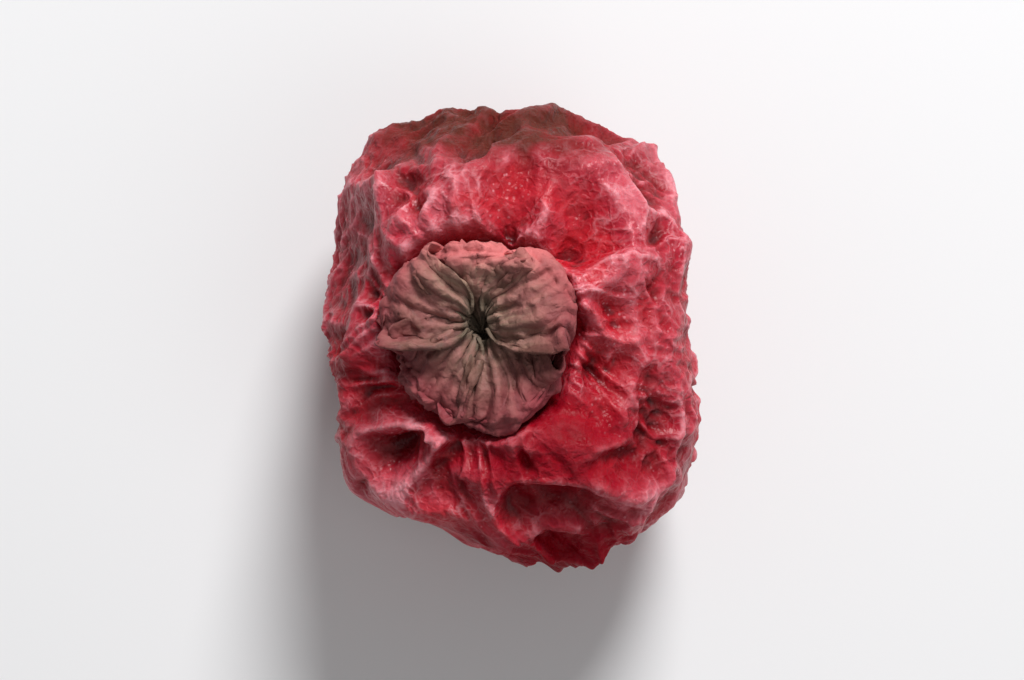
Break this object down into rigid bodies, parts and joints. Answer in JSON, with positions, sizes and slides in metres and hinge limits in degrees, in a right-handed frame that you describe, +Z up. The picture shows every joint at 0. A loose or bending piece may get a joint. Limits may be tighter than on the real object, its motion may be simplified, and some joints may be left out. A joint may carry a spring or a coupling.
{
  "type": "dried red currant",
  "caption": "Whole dried red currant, a small crumpled crimson berry with its withered flower on top and a torn stalk stub beneath.",
  "frame": {"origin": "under the middle of the berry's box, at the height of the flat spot that it rests on", "axes": "+Z up through the berry to its withered flower; +Y towards the berry's broad end, along its longest extent"},
  "size_m": [0.0054, 0.0068, 0.0055],
  "materials": {
    "skin": "dry crumpled fruit skin, matt to faintly waxy, crimson with pale pink creases",
    "withered_flower": "dry papery grey-brown",
    "stalk": "dry fibrous straw colour"
  },
  "bodies": {
    "root": {"berry": "skin", "calyx": "withered_flower", "stalk_stub": "stalk"}
  },
  "joints": []
}
